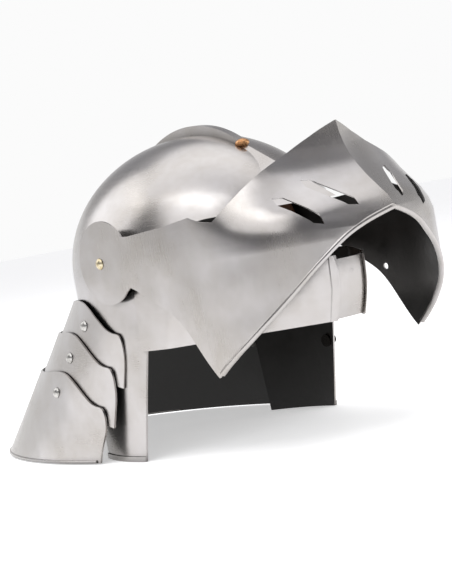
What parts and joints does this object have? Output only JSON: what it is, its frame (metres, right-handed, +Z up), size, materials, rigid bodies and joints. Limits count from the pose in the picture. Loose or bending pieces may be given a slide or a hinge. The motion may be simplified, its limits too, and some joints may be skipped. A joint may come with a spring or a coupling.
{
  "type": "knight helmet",
  "caption": "Steel knight's helmet with a combed skull, brow peak, pivoting pointed visor with slanted eye slots, fixed keeled bevor and hinged neck lames.",
  "frame": {"origin": "centre of the neck opening on the plane of its lower rim, the plane the helmet stands on", "axes": "+Z up, -Y the way the face looks, +X the wearer's left"},
  "size_m": [0.2199, 0.4847, 0.2402],
  "materials": {
    "polished_steel": "satin polished, hand worked, black paint inside",
    "rivet_steel": "polished",
    "nickel_brass": "worn nickel plate over brass",
    "braze_brass": "as brazed",
    "dark_iron": "blackened",
    "liner_leather": "vegetable tanned"
  },
  "bodies": {
    "helmet": {"skull": "polished_steel", "comb": "polished_steel", "brow_plate": "polished_steel", "comb_braze": "braze_brass", "visor_pivot_rivets": "nickel_brass", "visor_pivot_spacers": "rivet_steel", "visor_pivot_washers": "rivet_steel", "bevor_left_plate": "polished_steel", "bevor_right_plate": "polished_steel", "bevor_chin_plate": "polished_steel", "neck_right_plate": "polished_steel", "neck_left_plate": "polished_steel", "strap_stud": "dark_iron", "strap_stud_washer": "dark_iron", "upper_lame_rivets": "rivet_steel", "liner_band": "liner_leather", "liner_cross_strap": "liner_leather", "liner_long_strap": "liner_leather"},
    "visor": {"visor_right_half": "polished_steel", "visor_left_half": "polished_steel"},
    "lame_upper": {"neck_lame_upper": "polished_steel", "middle_lame_rivets": "rivet_steel"},
    "lame_middle": {"neck_lame_middle": "polished_steel", "lower_lame_rivets": "rivet_steel"},
    "lame_lower": {"neck_lame_lower": "polished_steel"}
  },
  "joints": [
    {"name": "visor_hinge", "type": "hinge", "parent": "helmet", "child": "visor", "pos_m": [0, 0, 0.15], "axis": [-1, 0, 0], "range_deg": [-15, 50]},
    {"name": "upper_lame_hinge", "type": "hinge", "parent": "helmet", "child": "lame_upper", "pos_m": [0, 0.042, 0.105], "axis": [1, 0, 0], "range_deg": [0, 4]},
    {"name": "middle_lame_hinge", "type": "hinge", "parent": "lame_upper", "child": "lame_middle", "pos_m": [0, 0.066, 0.082], "axis": [1, 0, 0], "range_deg": [0, 4]},
    {"name": "lower_lame_hinge", "type": "hinge", "parent": "lame_middle", "child": "lame_lower", "pos_m": [0, 0.089, 0.056], "axis": [1, 0, 0], "range_deg": [0, 4]}
  ]
}
